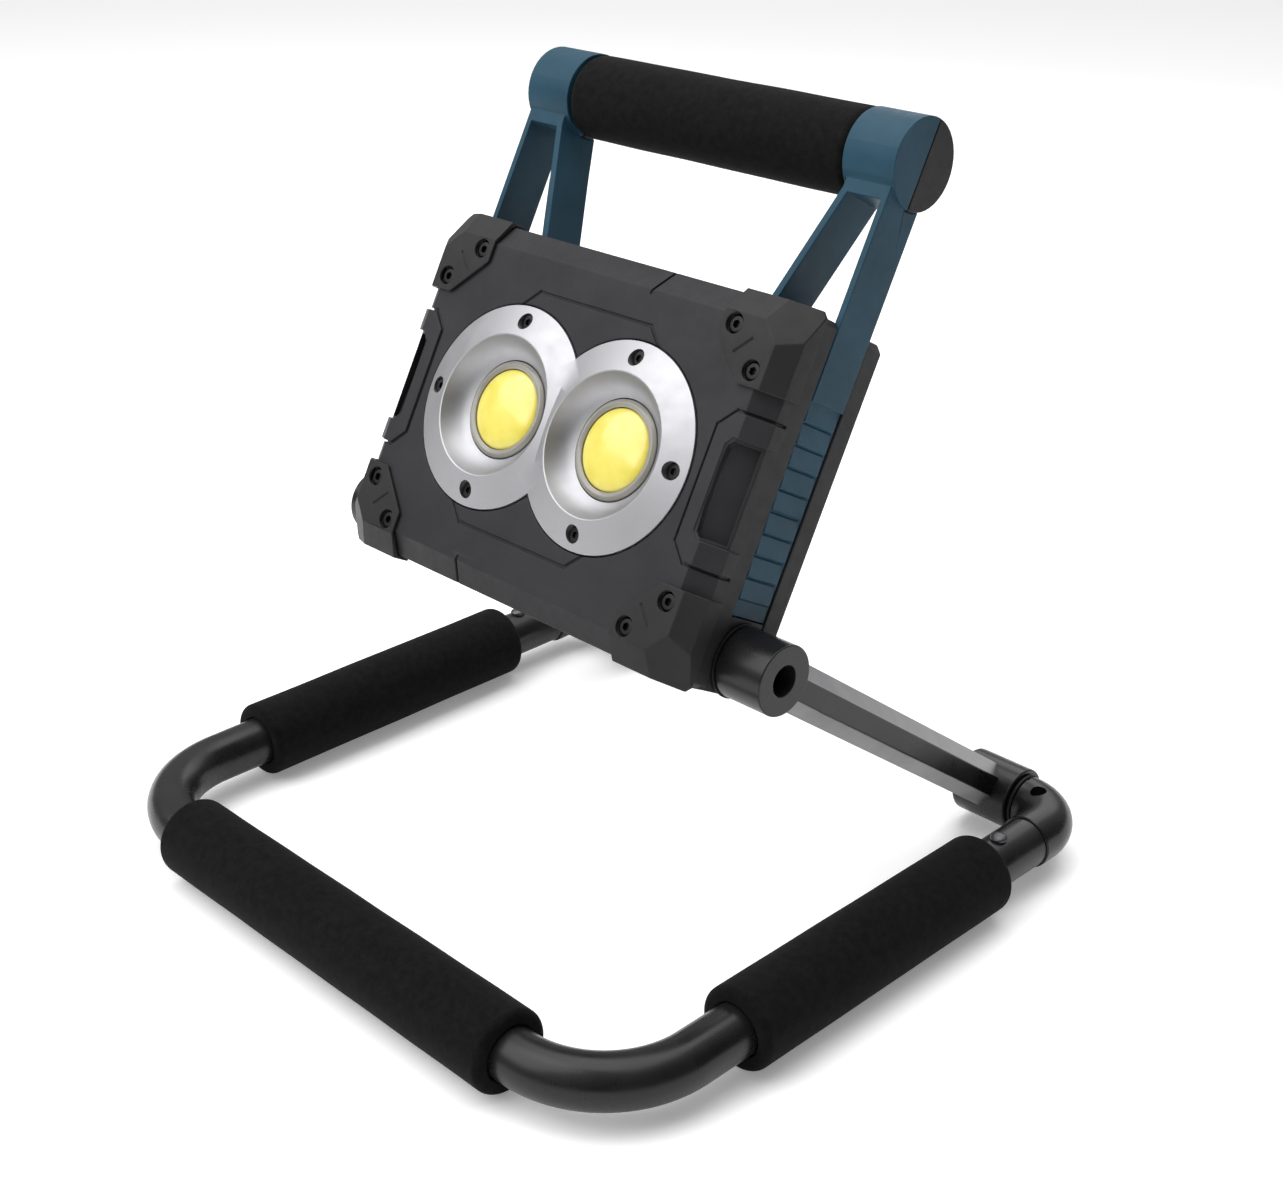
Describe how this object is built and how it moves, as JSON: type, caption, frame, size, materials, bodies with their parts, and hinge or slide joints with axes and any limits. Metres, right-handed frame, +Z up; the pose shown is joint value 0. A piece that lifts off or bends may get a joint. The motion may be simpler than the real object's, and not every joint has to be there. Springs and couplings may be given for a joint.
{
  "type": "work light",
  "caption": "Cordless folding work light: twin-reflector head with a foam grip, tilting on two arms that swing from a bent-tube floor stand with foam sleeves.",
  "frame": {"origin": "on the floor at the middle of the whole light's bounding box, midway between the stand's two side tubes", "axes": "+X along the stand's front tube, +Y towards the back where the arms are hinged, +Z up; the lamp shines towards -Y and a little up"},
  "size_m": [0.2898, 0.2638, 0.2759],
  "materials": {
    "tube_black": "semi-gloss powder coat",
    "foam": "matt closed-cell foam",
    "arm_cast": "satin black coating on cast aluminium",
    "nylon_black": "matt",
    "bright_steel": "bright zinc",
    "black_steel": "black oxide",
    "clear_plastic": "clear moulded ring",
    "phosphor": "glossy silicone over yellow phosphor",
    "led_board": "white solder mask",
    "plastic_black": "fine moulded texture",
    "guard_plastic": "fine moulded texture",
    "plastic_blue": "fine moulded texture",
    "bare_aluminium": "mill finish",
    "rubber_black": "matt",
    "satin_aluminium": "satin spun",
    "circuit_board": "solder mask",
    "cell_wrap": "shrink wrap over a metal can"
  },
  "bodies": {
    "root": {"base_tube": "tube_black", "elbow_left": "tube_black", "elbow_right": "tube_black", "foam_front": "foam", "foam_left": "foam", "foam_right": "foam", "tube_rivet_left": "bright_steel", "rear_pivot_screw_left": "black_steel", "tube_rivet_right": "bright_steel", "rear_pivot_screw_right": "black_steel"},
    "arms": {"arm_left": "arm_cast", "knuckle_bush_left": "nylon_black", "arm_right": "arm_cast", "knuckle_bush_right": "nylon_black"},
    "head": {"grip_foam": "foam", "friction_washer_left": "nylon_black", "pivot_screw_left": "black_steel", "lens_ring_left": "clear_plastic", "phosphor_left": "phosphor", "cob_board_left": "led_board", "handle_cap_left": "plastic_black", "friction_washer_right": "nylon_black", "pivot_screw_right": "black_steel", "lens_ring_right": "clear_plastic", "phosphor_right": "phosphor", "cob_board_right": "led_board", "handle_cap_right": "plastic_black", "front_housing": "plastic_black", "handle_frame": "plastic_blue", "back_cover": "plastic_black", "handle_tube": "bare_aluminium", "housing_seal": "rubber_black", "reflector_plate": "satin_aluminium", "heat_sink": "bare_aluminium", "driver_board": "circuit_board", "battery_cell_1": "cell_wrap", "battery_cell_2": "cell_wrap", "switch_body": "plastic_black", "charge_socket": "bright_steel", "reflector_screw_1": "black_steel", "reflector_screw_2": "black_steel", "reflector_screw_3": "black_steel", "reflector_screw_4": "black_steel", "reflector_screw_5": "black_steel", "reflector_screw_6": "black_steel", "corner_guard_1": "guard_plastic", "corner_guard_2": "guard_plastic", "corner_guard_3": "guard_plastic", "corner_guard_4": "guard_plastic", "guard_screw_1": "black_steel", "guard_screw_2": "black_steel", "guard_screw_3": "black_steel", "guard_screw_4": "black_steel", "guard_screw_5": "black_steel", "guard_screw_6": "black_steel", "guard_screw_7": "black_steel", "guard_screw_8": "black_steel"},
    "button": {"power_button": "rubber_black"},
    "flap": {"socket_flap": "rubber_black"}
  },
  "joints": [
    {"name": "arm_swing", "type": "hinge", "parent": "root", "child": "arms", "pos_m": [0, 0.1197, 0.01485], "axis": [-1, 0, 0], "range_deg": [-34.5, 50]},
    {"name": "head_tilt", "type": "hinge", "parent": "arms", "child": "head", "pos_m": [0, -0.01221, 0.11263], "axis": [1, 0, 0], "range_deg": [-95.5, 38]},
    {"name": "power_press", "type": "slide", "parent": "head", "child": "button", "axis": [0, -0.8755, 0.4833], "range_m": [0, 0.0015], "stiffness_N_per_m": 900, "springref_m": -0.001},
    {"name": "socket_flap_hinge", "type": "hinge", "parent": "head", "child": "flap", "pos_m": [0, 0.02024, 0.13561], "axis": [1, 0, 0], "range_deg": [0, 100]}
  ]
}
